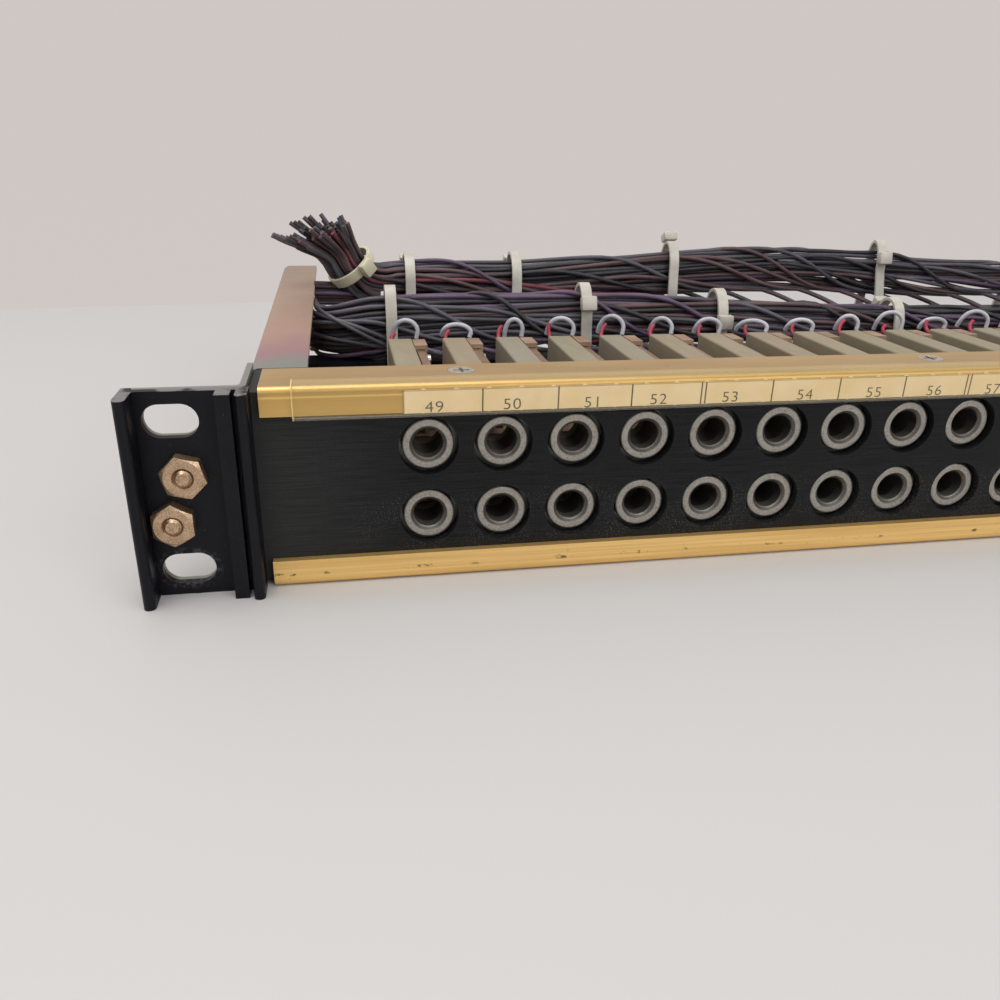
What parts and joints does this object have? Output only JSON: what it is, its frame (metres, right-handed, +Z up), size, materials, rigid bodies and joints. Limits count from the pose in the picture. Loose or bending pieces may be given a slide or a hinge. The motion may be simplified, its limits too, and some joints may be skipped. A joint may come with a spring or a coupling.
{
  "type": "patch bay",
  "caption": "One unit rack patch bay: black panel with two rows of quarter inch jacks, gold label rails, side brackets and a tied cable harness behind.",
  "frame": {"origin": "middle of the four rack slots, at the front face of the panel", "axes": "+X along the panel to the right, +Y to the back, +Z up"},
  "size_m": [0.4826, 0.1864, 0.0668],
  "materials": {
    "black_anodised": "satin",
    "gold_anodised": "satin",
    "plated_steel": "satin",
    "nickel": "matt",
    "chromated_frame": "matt",
    "spring_bronze": "satin",
    "gold_zinc": "satin",
    "screw_nickel": "satin",
    "clear_plastic": "gloss",
    "label_paper": "matt",
    "insulator": "matt",
    "red_wire": "satin",
    "white_sleeve": "satin",
    "cable_grey": "satin",
    "cable_maroon": "satin",
    "nylon": "satin"
  },
  "bodies": {
    "bay": {"front_panel": "black_anodised", "jack_plate": "plated_steel", "top_rail": "gold_anodised", "bottom_rail": "gold_anodised", "top_rail_screws": "screw_nickel", "bottom_rail_screws": "screw_nickel", "left_ear": "black_anodised", "right_ear": "black_anodised", "left_bracket": "plated_steel", "right_bracket": "plated_steel", "ear_studs": "gold_zinc", "ear_nuts": "gold_zinc", "bracket_screws": "screw_nickel", "upper_bushings": "nickel", "upper_frames": "chromated_frame", "upper_normals": "spring_bronze", "upper_insulators": "insulator", "upper_insulator_screws": "screw_nickel", "upper_red_leads": "red_wire", "upper_sleeves": "white_sleeve", "upper_drops": "cable_grey", "lower_bushings": "nickel", "lower_frames": "chromated_frame", "lower_normals": "spring_bronze", "lower_insulators": "insulator", "lower_insulator_screws": "screw_nickel", "lower_red_leads": "red_wire", "lower_sleeves": "white_sleeve", "lower_drops": "cable_grey", "front_lacing_bar": "plated_steel", "rear_lacing_bar": "plated_steel", "lacing_screws": "screw_nickel", "front_bundle": "cable_grey", "rear_bundle": "cable_maroon", "front_cut_ends": "cable_grey", "rear_cut_ends": "cable_maroon", "front_ties": "nylon", "rear_ties": "nylon"},
    "label_cover": {"label_cover": "clear_plastic"},
    "label_strip": {"label_strip": "label_paper"},
    "upper_tip_springs": {"upper_tip_springs": "spring_bronze"},
    "upper_ring_springs": {"upper_ring_springs": "spring_bronze"},
    "lower_tip_springs": {"lower_tip_springs": "spring_bronze"},
    "lower_ring_springs": {"lower_ring_springs": "spring_bronze"}
  },
  "joints": [
    {"name": "cover_slide", "type": "slide", "parent": "bay", "child": "label_cover", "axis": [1, 0, 0], "range_m": [-0.0075, 0.0075]},
    {"name": "strip_slide", "type": "slide", "parent": "bay", "child": "label_strip", "axis": [1, 0, 0], "range_m": [-0.029, 0.0235]},
    {"name": "upper_tip_lift", "type": "hinge", "parent": "bay", "child": "upper_tip_springs", "pos_m": [0, 0.074, 0.01174], "axis": [-1, 0, 0], "range_deg": [0, 1], "stiffness_Nm_per_rad": 2},
    {"name": "upper_ring_lift", "type": "hinge", "parent": "bay", "child": "upper_ring_springs", "pos_m": [0, 0.074, 0.00414], "axis": [1, 0, 0], "range_deg": [0, 1], "stiffness_Nm_per_rad": 2},
    {"name": "lower_tip_lift", "type": "hinge", "parent": "bay", "child": "lower_tip_springs", "pos_m": [0, 0.074, -0.00414], "axis": [-1, 0, 0], "range_deg": [0, 1], "stiffness_Nm_per_rad": 2},
    {"name": "lower_ring_lift", "type": "hinge", "parent": "bay", "child": "lower_ring_springs", "pos_m": [0, 0.074, -0.01174], "axis": [1, 0, 0], "range_deg": [0, 1], "stiffness_Nm_per_rad": 2}
  ],
  "couplings": [
    {"joint": "upper_ring_lift", "follows": "upper_tip_lift", "ratio": 1},
    {"joint": "lower_ring_lift", "follows": "lower_tip_lift", "ratio": 1}
  ]
}
